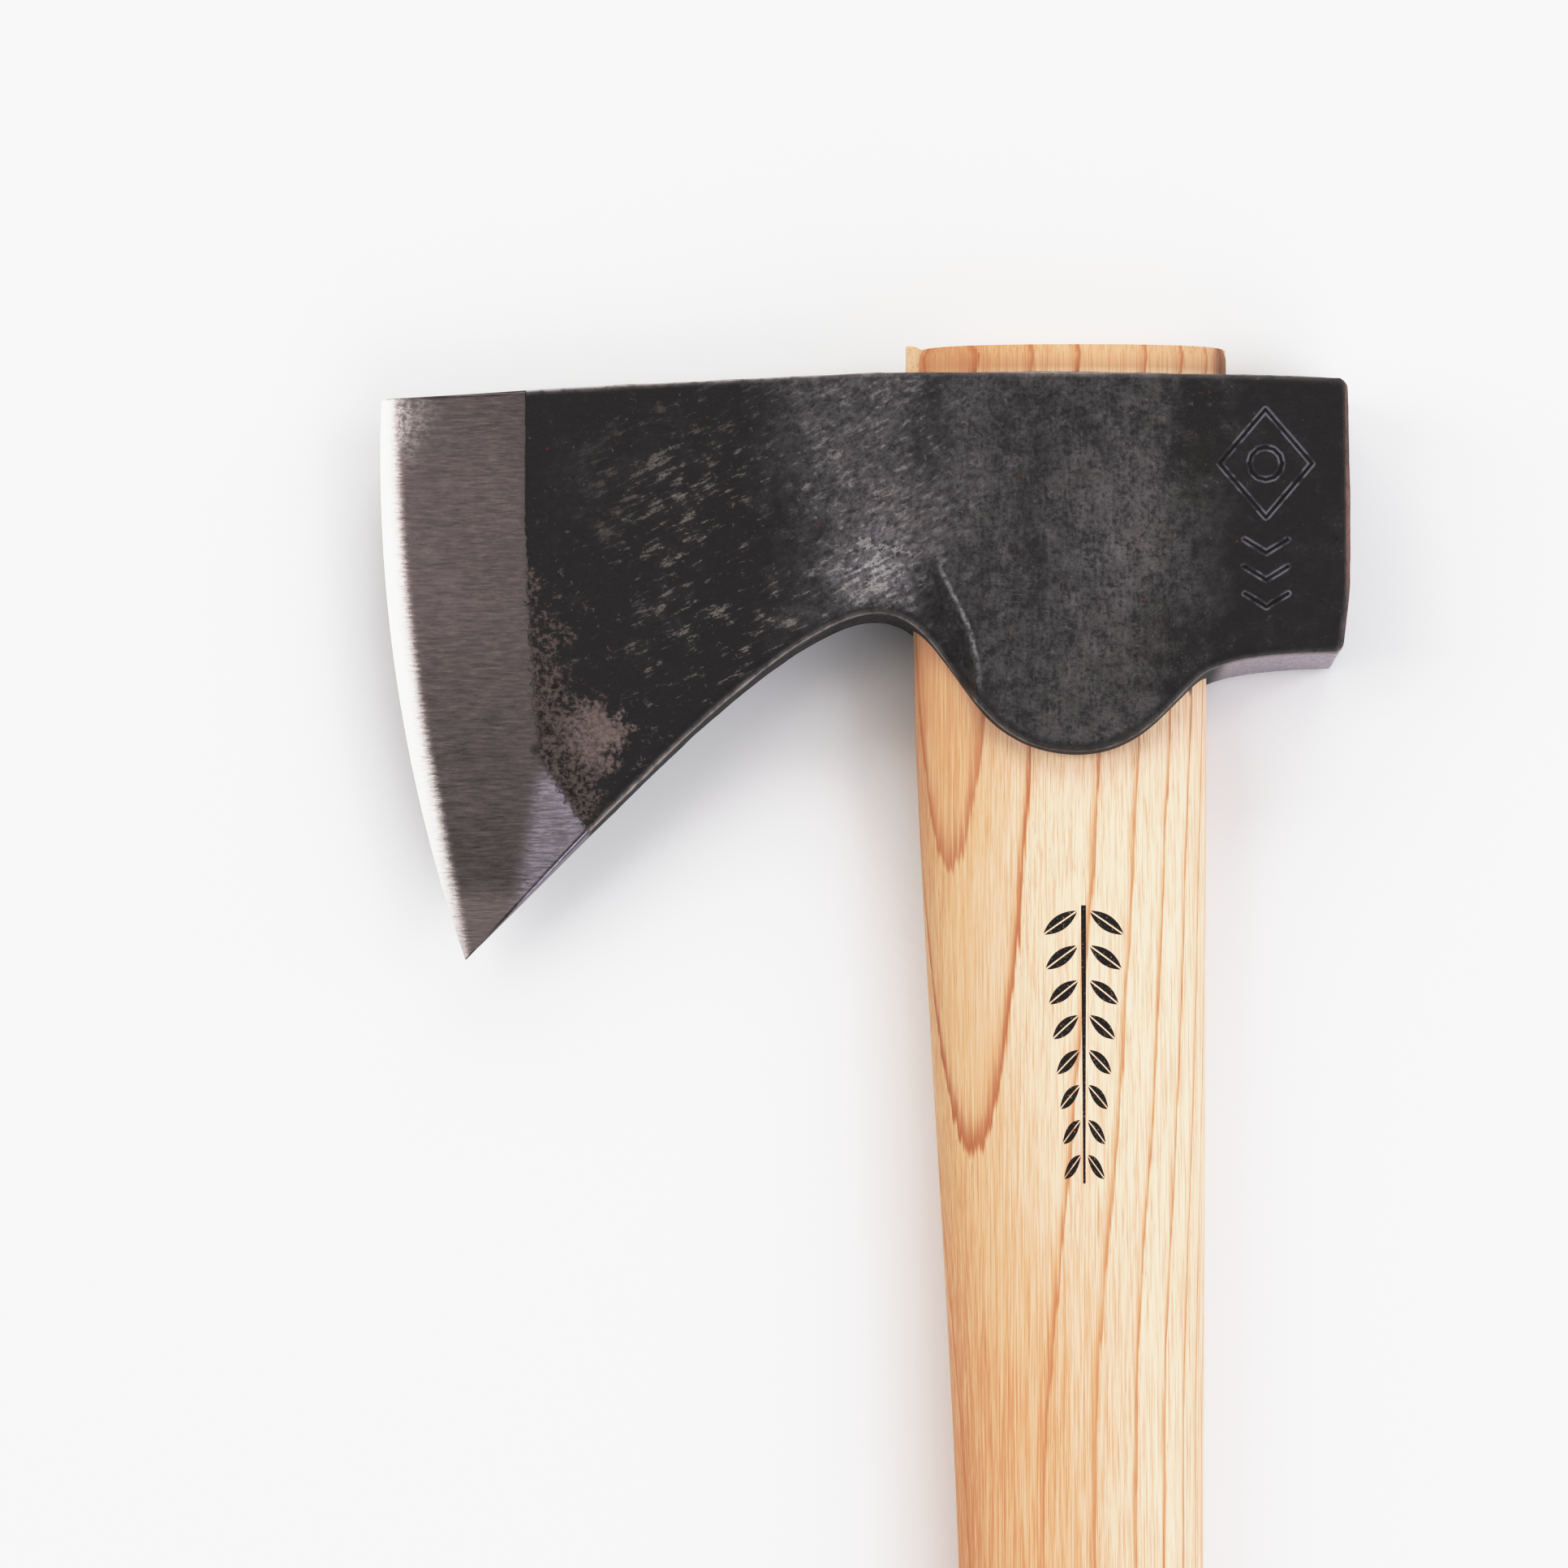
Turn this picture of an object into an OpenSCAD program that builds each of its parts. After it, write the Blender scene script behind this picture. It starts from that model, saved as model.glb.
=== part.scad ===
// One-hand broad axe, lying on its side: a forged bearded head hung on a wooden haft,
// which a wooden wedge and a steel cross wedge spread inside the eye.
// Design axes: x from the haft's centreline towards the poll, y from the top of the eye
// along the haft, away from the grip, z up from the middle of the head's thickness.

/* [Head] */
// Distance from the haft's centreline to the cutting edge
blade_reach = 126; // [123:1:130]
// Distance from the haft's centreline to the back of the poll
poll_reach = 53; // [51:0.5:56]
// Thickness of the head across its cheeks and its poll
head_thick = 31; // [30:0.5:36]
// Half thickness of the neck, where the flare of the cheeks has died out
neck_half = 6.5; // [6:0.5:8]

/* [Cutting edge] */
// Radius of the cutting edge, seen from the side
edge_radius = 285; // [260:5:340]
// Width of the honed strip along the cutting edge
honed_w = 5; // [3:0.5:7]
// Half angle of the honed strip
honed_angle = 15; // [12:1:18]
// Half angle of the ground bevel behind the honed strip
bevel_angle = 8; // [7.5:0.5:10]

/* [Haft] */
// Length of the haft from its top to the end of its knob
haft_length = 386; // [370:2:440]
// Height of the haft's top above the eye
haft_proud = 6; // [3:0.5:8]
// Length of the eye from front to back at its lower end
eye_length = 54; // [51:0.5:56]
// Width of the eye across the cheeks
eye_width = 20; // [17:0.5:21]

/* [Wedges] */
// Thickness of the wooden wedge at its top
wedge_thick = 5; // [4:0.5:6]
// Depth to which the wooden wedge is driven below the top of the eye
wedge_depth = 46; // [36:1:50]
// Thickness of the steel cross wedge at its top
steel_thick = 3; // [2:0.5:4]
// Width of the steel cross wedge across the haft
steel_width = 15; // [12:0.5:16]
// Length of the steel cross wedge
steel_length = 24; // [18:1:28]

/* [Hidden] */

$fn = 96;
head_half = head_thick / 2;

// How far a cutting shape runs past what it cuts
past = 5;

// The part's origin is the middle of its box, at the bottom.
origin = [(blade_reach - poll_reach) / 2, haft_length / 2 - haft_proud, head_half];

// Height below the eye's top at which the cutting edge reaches furthest forward
edge_crest_y = -13;
edge_centre = [edge_radius - blade_reach, edge_crest_y];

// Side outline of the head, as runs of cubic Bezier points that follow each other.
// The blade end runs past the cutting edge, and the edge's own curve trims it.
poll_top_y = -4;
poll_low_y = -40;
top_run = [[-136, -3.4], [-98, -1.9], [-62, 0.6], [-34, 0.6]];
eye_top_run = [[-34, 0.6], [-10, -0.2], [20, 0.4], [poll_reach - 2.5, -0.9]];
poll_bottom_run = [[poll_reach - 3, -52], [42, -52.2], [32, -52.4], [26, -55.8]];
lug_back_run = [[26, -55.8], [20, -60.5], [15, -70.2], [2.5, -70.2]];
lug_front_run = [[2.5, -70.2], [-12, -70.2], [-17, -59], [-22.2, -52]];
notch_run = [[-22.2, -52], [-26, -46.5], [-29.5, -44], [-34, -44]];
beard_run = [[-34, -44], [-50, -44], [-80, -77], [-110, -107.3]];
beard_end = [-122, -119.4];
run_steps = 8;

// Plan outline, on one side of the middle: the blade swells to the neck, and the neck
// flares out to the cheek at the front of the eye.
blade_slope = 0.056;
neck_x = -62;
flare_top = [-24, head_half - 0.9];
cheek_start = [-12, head_half];
poll_chamfer = 1;
flare_run = [[neck_x, neck_half], [-42, neck_half + 1.1], [-31, head_half - 4.5], flare_top];
blade_start = [-140, neck_half + blade_slope * (-140 - neck_x)];

// Haft, as runs of cubic Bezier points of [y, front x, back x, half thickness]
eye_half = eye_width / 2;
eye_front = 0.1 - eye_length / 2;
eye_back = eye_length / 2;
haft_end_y = haft_proud - haft_length;
rim_chamfer = 1;
lug_y = -58;
waist_y = haft_end_y + 62;
knob_y = haft_end_y + 14;
rest_half = head_half;
haft_top = [haft_proud - rim_chamfer, eye_front - 1.5, eye_back + 4, eye_half + 0.3];
haft_lug = [lug_y, eye_front, eye_back, eye_half + 0.3];
haft_frame = [-220, -18.6, 25.8, 12.8];
haft_waist = [waist_y, -15.5, 24, 13];
haft_knob = [knob_y, -24, 28.5, rest_half];
tongue_run = [haft_top, [-10, eye_front - 1.2, eye_back + 2.5, eye_half],
              [-35, eye_front - 0.3, eye_back + 0.2, eye_half], haft_lug];
shaft_run = [haft_lug, [-112, -25.2, 26.7, 12], [-166, -20.5, 26.2, 12.6], haft_frame];
grip_run = [haft_frame, [-255, -17.4, 25.5, 12.9], [waist_y + 28, -15.5, 24, 12.8], haft_waist];
swell_run = [haft_waist, [waist_y - 20, -15.5, 24, 13.2], [knob_y + 18, -23, 28, rest_half], haft_knob];
end_run = [haft_knob, [haft_end_y + 5, -24.4, 28.8, rest_half],
           [haft_end_y, -20, 24, 12], [haft_end_y, -10, 14, 7]];
ring_points = 40;
oval_power = 2.5;

// Steel cross wedge: two slots part its lower end into three legs.
steel_x = 4;
steel_tip = 0.8;
leg_slot = 1.6;
leg_length = 14;
wedge_tip = 1.2;

function bezier(p, t) =
    p[0] * pow(1 - t, 3) + p[1] * 3 * t * pow(1 - t, 2) + p[2] * 3 * t * t * (1 - t) + p[3] * pow(t, 3);
function along(p, steps) = [for (i = [0:steps]) bezier(p, i / steps)];
function along_open(p, steps) = [for (i = [0:steps - 1]) bezier(p, i / steps)];
function power_of(v, n) = sign(v) * pow(abs(v), 2 / n);

// One oval ring of the haft, from [y, front x, back x, half thickness]
function ring(s) = [
    for (i = [0:ring_points - 1])
        let (a = 360 * i / ring_points)
        [(s[1] + s[2]) / 2 + (s[2] - s[1]) / 2 * power_of(cos(a), oval_power),
         s[0],
         s[3] * power_of(sin(a), oval_power)]
];

function haft_rim(s) = [s[0] + rim_chamfer, s[1] + rim_chamfer, s[2] - 2 * rim_chamfer, s[3] - rim_chamfer];

tongue_stations = concat([haft_rim(haft_top)], along_open(tongue_run, 6), along(shaft_run, 12));
lower_stations = concat(along_open(grip_run, 6), along_open(swell_run, 7), along(end_run, 5));
haft_stations = concat([for (i = [0:len(tongue_stations) - 2]) tongue_stations[i]], lower_stations);

// How many stations it takes to reach past the lugs of the head
eye_stations = 10;

function side_outline() = concat(
    along_open(top_run, run_steps),
    along(eye_top_run, run_steps),
    [[poll_reach, poll_top_y], [poll_reach, poll_low_y], [poll_reach - 1.6, -49.8]],
    along_open(poll_bottom_run, run_steps),
    along_open(lug_back_run, run_steps),
    along_open(lug_front_run, run_steps),
    along_open(notch_run, run_steps),
    along(beard_run, run_steps),
    [beard_end]
);

function half_plan() = concat(
    [blade_start],
    along(flare_run, run_steps),
    [cheek_start, [poll_reach - poll_chamfer, head_half], [poll_reach, head_half - poll_chamfer]]
);

// An outline on both sides of the x axis, from its points on the upper side
function mirrored(upper) = concat(upper, [for (i = [len(upper) - 1:-1:0]) [upper[i][0], -upper[i][1]]]);

// Radial section of the blade about the edge's centre: honed strip, then the ground bevel
function blade_section() =
    let (honed_half = honed_w * tan(honed_angle))
    let (top = head_half + past)
    let (bevel_run = (top - honed_half) / tan(bevel_angle))
    let (inner = edge_centre[0] - poll_reach - past)
    let (upper = [[edge_radius, 0],
                  [edge_radius - honed_w, honed_half],
                  [edge_radius - honed_w - bevel_run, top],
                  [inner, top]])
    concat(upper, [for (i = [3:-1:1]) [upper[i][0], -upper[i][1]]]);

// A closed solid through rings of equal length, capped flat at both ends
module loft(rings) {
    n = len(rings[0]);
    last = len(rings) - 1;
    polyhedron(
        points = [for (r = rings) each r],
        faces = concat(
            [[for (i = [0:n - 1]) i]],
            [for (k = [0:last - 1], i = [0:n - 1])
                each [[k * n + i, (k + 1) * n + i, k * n + (i + 1) % n],
                      [(k + 1) * n + i, (k + 1) * n + (i + 1) % n, k * n + (i + 1) % n]]],
            [[for (i = [n - 1:-1:0]) last * n + i]]
        )
    );
}

module tongue() {
    loft([for (i = [0:eye_stations]) ring(tongue_stations[i])]);
}

// Wooden wedge as driven: thick at the top, running the whole length of the eye
module wedge_blank() {
    reach = eye_length + 4 * past;
    top = haft_proud - 0.5;
    translate([-reach / 2, 0, 0])
        rotate([90, 0, 90])
            linear_extrude(reach)
                polygon([[top, -wedge_thick / 2], [top, wedge_thick / 2],
                         [-wedge_depth, wedge_tip / 2], [-wedge_depth, -wedge_tip / 2]]);
}

module steel_blank() {
    top = haft_proud - 0.8;
    tip = top - steel_length;
    slot_offset = steel_width / 6;
    difference() {
        translate([steel_x, 0, -steel_width / 2])
            linear_extrude(steel_width)
                polygon([[-steel_thick / 2, top], [steel_thick / 2, top],
                         [steel_tip / 2, tip], [-steel_tip / 2, tip]]);
        for (side = [-1, 1])
            translate([steel_x - steel_thick, tip - past, side * slot_offset - leg_slot / 2])
                cube([2 * steel_thick, leg_length + past, leg_slot]);
    }
}

module head() {
    color("#4a474b")
        translate(origin)
            difference() {
                intersection() {
                    translate([0, 0, -head_thick])
                        linear_extrude(2 * head_thick)
                            polygon(side_outline());
                    translate([0, past, 0])
                        rotate([90, 0, 0])
                            linear_extrude(2 * past - beard_end[1])
                                polygon(mirrored(half_plan()));
                    translate([edge_centre[0], edge_centre[1], 0])
                        rotate_extrude()
                            polygon(blade_section());
                }
                tongue();
            }
}

module haft() {
    color("#f2cf9f")
        translate(origin)
            difference() {
                loft([for (s = haft_stations) ring(s)]);
                wedge_blank();
                steel_blank();
            }
}

module wood_wedge() {
    color("#e8cbb3")
        translate(origin)
            difference() {
                intersection() {
                    tongue();
                    wedge_blank();
                }
                steel_blank();
            }
}

module steel_wedge() {
    color("#8d8c90")
        translate(origin)
            steel_blank();
}

head();
haft();
wood_wedge();
steel_wedge();
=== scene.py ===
"""One-hand broad axe on a plain pale floor: a forged head on a wooden haft, held by two wedges.

Shapes are worked out in the axe's own millimetres: x runs from the haft's centreline towards the
poll, y from the eye's top along the haft, z from the middle of the head's thickness.
"""

import math

import bmesh
import bpy
import numpy as np
from mathutils import Matrix, Vector, noise


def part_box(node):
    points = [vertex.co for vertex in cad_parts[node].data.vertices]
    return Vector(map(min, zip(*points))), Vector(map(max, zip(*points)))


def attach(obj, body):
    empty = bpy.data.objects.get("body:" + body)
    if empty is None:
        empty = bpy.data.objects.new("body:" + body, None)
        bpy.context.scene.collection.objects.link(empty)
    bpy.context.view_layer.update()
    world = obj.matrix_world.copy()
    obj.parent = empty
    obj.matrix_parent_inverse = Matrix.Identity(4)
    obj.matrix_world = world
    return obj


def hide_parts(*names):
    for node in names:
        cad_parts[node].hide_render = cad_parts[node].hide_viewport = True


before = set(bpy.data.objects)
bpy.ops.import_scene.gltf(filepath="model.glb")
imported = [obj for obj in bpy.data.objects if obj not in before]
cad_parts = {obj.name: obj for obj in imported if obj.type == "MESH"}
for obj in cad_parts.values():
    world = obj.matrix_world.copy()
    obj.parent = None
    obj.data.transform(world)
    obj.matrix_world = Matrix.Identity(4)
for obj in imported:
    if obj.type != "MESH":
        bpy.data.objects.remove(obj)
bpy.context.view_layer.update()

# ---------------- the axe's place and main sizes

MM = 0.001
HEAD_LOW, HEAD_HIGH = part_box("head")
HAFT_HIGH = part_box("haft")[1]
POLL_REACH = 53.0
HAFT_PROUD = 6.0
HEAD_HALF = (HEAD_HIGH.z - HEAD_LOW.z) / MM / 2
ORIGIN = np.array(
    [HEAD_HIGH.x - POLL_REACH * MM, HAFT_HIGH.y - HAFT_PROUD * MM, (HEAD_LOW.z + HEAD_HIGH.z) / 2]
)

EDGE_RADIUS = 285.0
EDGE_REACH = 126.0
EDGE_CENTRE = (EDGE_RADIUS - EDGE_REACH, -13.0)
HONED_SLOPE = math.tan(math.radians(17))
BEVEL_SLOPE = math.tan(math.radians(8))
BLADE_SLOPE = 0.056
NECK_HALF = 6.5
FLARE_REACH = 38.0

# How far above the eye a cutting shape reaches
CUT_TOP = 12.0

# Side outline of the head, as cubic Bezier runs
TOP_RUN = [(-126, -3.0), (-95, -1.8), (-62, 0.5), (-34, 0.6)]
EYE_TOP_RUN = [(-34, 0.6), (-10, -0.2), (20, 0.4), (50.5, -0.9)]
BEARD_RUN = [(-110, -107.3), (-80, -77), (-50, -44), (-34, -44)]
NOTCH_RUN = [(-34, -44), (-29.5, -44), (-26, -46.5), (-22.2, -52)]
LUG_FRONT_RUN = [(-22.2, -52), (-17, -59), (-12, -70.2), (2.5, -70.2)]
LUG_BACK_RUN = [(2.5, -70.2), (15, -70.2), (20, -60.5), (26, -55.8)]
POLL_BOTTOM_RUN = [(26, -55.8), (32, -52.4), (42, -52.2), (50.2, -52)]

# Stamped marks on the poll: a lozenge and a ring round STAMP_AT, and chevrons below it
STAMP_AT = (37.4, -17.0)
STAMP_WIDTH = 0.9
STAMP_DEPTH = 0.35
LOZENGE_WIDE, LOZENGE_HIGH = 8.5, 10.0
RING_RADIUS = 3.0
CHEVRON_DROPS = (16.5, 21.5, 26.5)
CHEVRON_WIDE, CHEVRON_HIGH = 4.0, 2.5

# Haft: cubic Bezier runs of [y, front x, back x, half thickness]
HAFT_RUNS = [
    [(4, -28.4, 31, 10.3), (-10, -28.1, 29.5, 10), (-35, -27.3, 27.1, 10), (-58, -27.1, 26.9, 10.3)],
    [(-58, -27.1, 26.9, 10.3), (-112, -25.4, 26.6, 12), (-166, -20.8, 26.1, 12.6), (-220, -19.1, 25.7, 12.8)],
    [(-220, -19.1, 25.7, 12.8), (-255, -17.7, 25.4, 12.9), (-290, -15.5, 24, 12.8), (-318, -15.5, 24, 13)],
    [(-318, -15.5, 24, 13), (-338, -15.5, 24, 13.2), (-348, -23, 28, 15.5), (-366, -24, 28.5, 15.5)],
    [(-366, -24, 28.5, 15.5), (-375, -24.4, 28.8, 15.5), (-380, -20, 24, 12), (-380, -10, 14, 7)],
]
OVAL_POWER = 2.5

# The haft's domed top: its height above the eye, its rise from the rim, and how far the haft's
# front is set back above the head
DOME_TOP = 6.5
DOME_RISE = 0.7
TOP_SET_BACK = 2.0

# Growth rings: the pith's (x, z) at y = PITH_Y, its lean per mm along the haft and the distance
# below PITH_Y where the lean eases off; the radius at which one ring ends, the spacing of the
# rings, and one ring that is wider than the rest
PITH = (52.3, -140.2)
PITH_Y = -100.0
PITH_LEAN = (0.0092, -0.0436)
PITH_STRAIGHT = 85.0
PITH_EASE = 30.0
RING_START = 162.75
RING_STEP = 2.67
RING_WANDER = 0.7
RING_FEATHER = 0.55
WIDE_RING = (159.1, 163.1)
WIDE_BY = 1.35

# Printed sprig on the haft
PRINT_X = 3.8
PRINT_TOP = -98.0
PRINT_END = -149.0
LEAF_STEP = 6.4
LEAF_OUT = 4.3
LEAF_TURN = 0.6
LEAF_LONG = 3.9
LEAF_WIDE = 1.35

# Wooden wedge and steel cross wedge. The wooden one is made longer than the eye and trimmed.
WEDGE_LENGTH = 84.0
WEDGE_TOP = HAFT_PROUD - 0.5
WEDGE_DEPTH = 46.0
WEDGE_THICK = 5.0
WEDGE_TIP = 1.2
STEEL_TOP = HAFT_PROUD - 0.8
STEEL_X = 4.0
STEEL_WIDTH = 15.0
STEEL_THICK = 3.0
STEEL_TIP = 0.8
STEEL_LENGTH = 24.0
LEG_SLOT = 1.6
LEG_LENGTH = 14.0

# ---------------- small numeric helpers


def bezier(run, steps):
    """Points along one cubic run, both ends included."""
    t = np.linspace(0, 1, steps + 1)[:, None]
    p = np.array(run, float)
    return p[0] * (1 - t) ** 3 + 3 * p[1] * t * (1 - t) ** 2 + 3 * p[2] * t**2 * (1 - t) + p[3] * t**3


def chain(runs, steps):
    """Points along runs that follow each other, without repeating the joints."""
    parts = [bezier(runs[0], steps)] + [bezier(run, steps)[1:] for run in runs[1:]]
    return np.concatenate(parts)


def smooth(value, low, high):
    """0 below low, 1 above high, with a smooth step between them."""
    t = np.clip((value - low) / (high - low), 0, 1)
    return t * t * (3 - 2 * t)


def resample(points, stations):
    """Points at given shares of a polyline's length."""
    length = np.concatenate([[0], np.cumsum(np.linalg.norm(np.diff(points, axis=0), axis=1))])
    length /= length[-1]
    return np.stack([np.interp(stations, length, points[:, i]) for i in range(points.shape[1])], 1)


def distance_to_line(x, y, line, reach):
    """Distance from each (x, y) to a polyline, no more than reach."""
    best = np.full(x.shape, reach, float)
    for a, b in zip(line[:-1], line[1:]):
        near = (
            (x > min(a[0], b[0]) - reach)
            & (x < max(a[0], b[0]) + reach)
            & (y > min(a[1], b[1]) - reach)
            & (y < max(a[1], b[1]) + reach)
        )
        if not near.any():
            continue
        step = b - a
        px, py = x[near] - a[0], y[near] - a[1]
        share = np.clip((px * step[0] + py * step[1]) / (step @ step + 1e-12), 0, 1)
        best[near] = np.minimum(best[near], np.hypot(px - share * step[0], py - share * step[1]))
    return best


def field(points, scale, octaves, seed):
    """Fractal noise, about -1 to 1, at points given in millimetres."""
    shift = Vector((seed, seed * 1.7, -seed))
    return np.array(
        [noise.fractal(Vector(p) / scale + shift, 1.0, 2.0, octaves) for p in points.tolist()]
    )


def make_mesh(name, points, faces):
    """A closed mesh object from points in the axe's millimetres, without those that no face uses."""
    mesh = bpy.data.meshes.new(name)
    mesh.from_pydata((np.asarray(points) * MM + ORIGIN).tolist(), [], faces)
    mesh.validate()
    mesh.update()
    work = bmesh.new()
    work.from_mesh(mesh)
    bmesh.ops.delete(work, geom=[v for v in work.verts if not v.link_faces], context="VERTS")
    bmesh.ops.recalc_face_normals(work, faces=work.faces)
    work.to_mesh(mesh)
    work.free()
    piece = bpy.data.objects.new(name, mesh)
    bpy.context.scene.collection.objects.link(piece)
    return piece


def get_points(piece):
    """A piece's points in the axe's millimetres."""
    co = np.empty(len(piece.data.vertices) * 3)
    piece.data.vertices.foreach_get("co", co)
    return (co.reshape(-1, 3) - ORIGIN) / MM


def set_points(piece, points):
    """Moves a piece's points to places in the axe's millimetres."""
    piece.data.vertices.foreach_set("co", (points * MM + ORIGIN).ravel())
    piece.data.update()


def cut(piece, cutters, operation="DIFFERENCE"):
    """Cuts closed meshes out of a piece, or keeps what lies inside them, and deletes them."""
    for cutter in cutters:
        step = piece.modifiers.new("cut", "BOOLEAN")
        step.operation = operation
        step.solver = "MANIFOLD"
        step.object = cutter
    graph = bpy.context.evaluated_depsgraph_get()
    mesh = bpy.data.meshes.new_from_object(piece.evaluated_get(graph))
    piece.modifiers.clear()
    old = piece.data
    piece.data = mesh
    bpy.data.meshes.remove(old)
    for cutter in cutters:
        bpy.data.objects.remove(cutter)


def shade(piece, sharp_degrees):
    """Smooth shading with sharp edges where faces meet at more than an angle."""
    piece.data.polygons.foreach_set("use_smooth", [True] * len(piece.data.polygons))
    piece.data.set_sharp_from_angle(angle=math.radians(sharp_degrees))


def store(piece, name, values):
    """Keeps one number per point for the materials."""
    layer = piece.data.attributes.new(name, "FLOAT", "POINT")
    layer.data.foreach_set("value", np.asarray(values, np.float32))


# ---------------- head: shape


def edge_x(y):
    """The cutting edge, seen from the side."""
    return EDGE_CENTRE[0] - np.sqrt(EDGE_RADIUS**2 - (y - EDGE_CENTRE[1]) ** 2)


def poll_x(y):
    """The back of the poll, with rounded corners and a little crown."""
    crown = POLL_REACH - 0.25 * ((y + 27) / 24) ** 2 - 1.3 * smooth(-y, 38, 52)
    top = 1.5 * np.clip((y + 2.6) / 1.7, 0, 1) ** 2
    bottom = 1.1 * np.clip((-49.6 - y) / 2.4, 0, 1) ** 2
    return crown - top - bottom


def honed_width(y):
    """Width of the honed strip, which dies out at both corners of the edge."""
    widths = [(-107, 0.5), (-102, 1.1), (-95, 2.0), (-80, 3.2), (-54, 3.7), (-35, 3.6), (-14, 3.2), (-3, 2.7)]
    return np.interp(y, *zip(*widths))


def shoulder_x(y):
    """Where the ground bevel ends, from the toe to the beard."""
    line = [(-110, -71.7), (-83.4, -87.6), (-76, -92.3), (-70, -96.1)]
    line += [(-60, -97.0), (-40, -98.2), (-26, -98.9)]
    return np.interp(y, *zip(*line))


def ridge_x(y):
    """The crease at the front of the lugs, and the front of the cheek above it."""
    line = [(-66, -15.2), (-59.5, -15.4), (-54, -15.7), (-47.2, -17.3)]
    line += [(-42.2, -19.7), (-36.9, -22.3), (-27, -24.3), (0, -24.5)]
    return np.interp(y, *zip(*line))


def edge_distance(x, y):
    """Distance behind the cutting edge."""
    return EDGE_RADIUS - np.hypot(x - EDGE_CENTRE[0], y - EDGE_CENTRE[1])


def bevel_half(x, y):
    """Half thickness of the two ground faces behind the edge."""
    back = edge_distance(x, y)
    width = honed_width(y)
    soft = 0.35 * width
    over = np.clip(back - width + soft, 0, 2 * soft)
    honed = np.minimum(back, width + soft) - over**2 / (4 * soft)
    return honed * (HONED_SLOPE - BEVEL_SLOPE) + back * BEVEL_SLOPE


# Half thickness in front of the crease: a flare above, and below it a fall from the lug
FLARE_START = (-FLARE_REACH, NECK_HALF)
FLARE = bezier([FLARE_START, (-20, 7.2), (-10, HEAD_HALF - 3.2), (0, HEAD_HALF - 0.7)], 40)
LUG_FALL = np.array(
    [FLARE_START, (-20, 8.4), (-12, 9.6), (-8, 10.3), (-5.5, 10.4), (-4, 10.2), (-2.8, 10.5), (-1.7, 11.7)]
    + [(-0.8, 13.4), (0, HEAD_HALF - 0.5)]
)


def head_half(x, y):
    """Half thickness of the head at a point of its side view."""
    shoulder = shoulder_x(y)
    blade = bevel_half(shoulder, y) + BLADE_SLOPE * (x - shoulder)
    behind = x - ridge_x(y)
    cheek = HEAD_HALF - 0.7 * np.exp(-np.clip(behind, 0, None) / 5)
    cheek = cheek - 0.25 * smooth(np.abs(x - 12), 12, 42)
    low = smooth(-y, 30, 43)
    flare = np.interp(behind, FLARE[:, 0], FLARE[:, 1])
    fall = np.interp(behind, LUG_FALL[:, 0], LUG_FALL[:, 1])
    neck = flare * (1 - low) + fall * low
    base = NECK_HALF + BLADE_SLOPE * np.clip(behind + FLARE_REACH, 0, None)
    front = blade + np.clip(neck - base, 0, None)
    keep = smooth(behind, -22, -9)
    front = front * (1 - keep) + neck * keep
    lip = 0.35 * np.exp(-(((behind - 0.3) / 0.6) ** 2)) * smooth(-y, 31, 37) * smooth(y, -62, -52)
    body = np.where(behind < 0, front, cheek) + lip
    corner = 1.5 * np.clip((x - 51.2) / 1.8, 0, 1) ** 2
    return np.minimum(bevel_half(x, y), body - corner)


# Distances of the grid's first lines from the outline, and heights of the rim's lines as shares
BORDER_STEPS = [0, 0.12, 0.35, 0.7, 1.15, 1.7, 2.4]
WALL_SHARES = [1, 0.97, 0.9, 0.72, 0.4, 0, -0.4, -0.72, -0.9, -0.97, -1]


def spaced(length, count):
    """Places from 0 to length: close together near both ends and even between them."""
    ends = np.array(BORDER_STEPS)
    inner = np.linspace(ends[-1], length - ends[-1], count)
    return np.concatenate([ends[:-1], inner, length - ends[-2::-1]])


def head_columns():
    """Top and bottom points of the grid's columns, from the cutting edge to the poll."""
    coarse = 2
    bottom = chain([BEARD_RUN, NOTCH_RUN, LUG_FRONT_RUN, LUG_BACK_RUN, POLL_BOTTOM_RUN], 60)
    span = np.linalg.norm(np.diff(bottom, axis=0), axis=1).sum()
    low = resample(bottom, spaced(span, 150 * coarse) / span)
    slant = 16.0 * np.clip((-34 - low[:, 0]) / 76, 0, None) ** 1.5
    top = chain([TOP_RUN, EYE_TOP_RUN], 80)
    high_x = low[:, 0] - slant + 0.3 * smooth(low[:, 0], 30, 50.2)
    high_x[0] = 0.2 - EDGE_REACH
    high = np.stack([high_x, np.interp(high_x, top[:, 0], top[:, 1])], 1)
    return high, low


def head_grid():
    """The grid of (x, y) over the head's side view: columns across, rows down."""
    high, low = head_columns()
    rows = 128
    grid = np.empty((len(high), rows + 2 * (len(BORDER_STEPS) - 1), 2))
    for i, (a, b) in enumerate(zip(high, low)):
        share = spaced(np.linalg.norm(b - a), rows)[:, None] / np.linalg.norm(b - a)
        grid[i] = a + (b - a) * share
    x, y = grid[..., 0], grid[..., 1]
    column = np.linspace(0, 1, len(high))[:, None] * np.ones_like(x)
    bow = edge_x(y[:1]) - x[:1]
    x += bow * np.clip(1 - column / 0.35, 0, 1) ** 1.5
    straight = x[-1:].copy()
    pull = smooth(x, 40, 50.5)
    x += (poll_x(y) - straight) * pull
    x[0] = edge_x(y[0])
    return grid


def outline_of(grid):
    """The head's outline apart from its cutting edge."""
    return np.concatenate([grid[:, 0], grid[-1, 1:], grid[::-1, -1][1:]])


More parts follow.
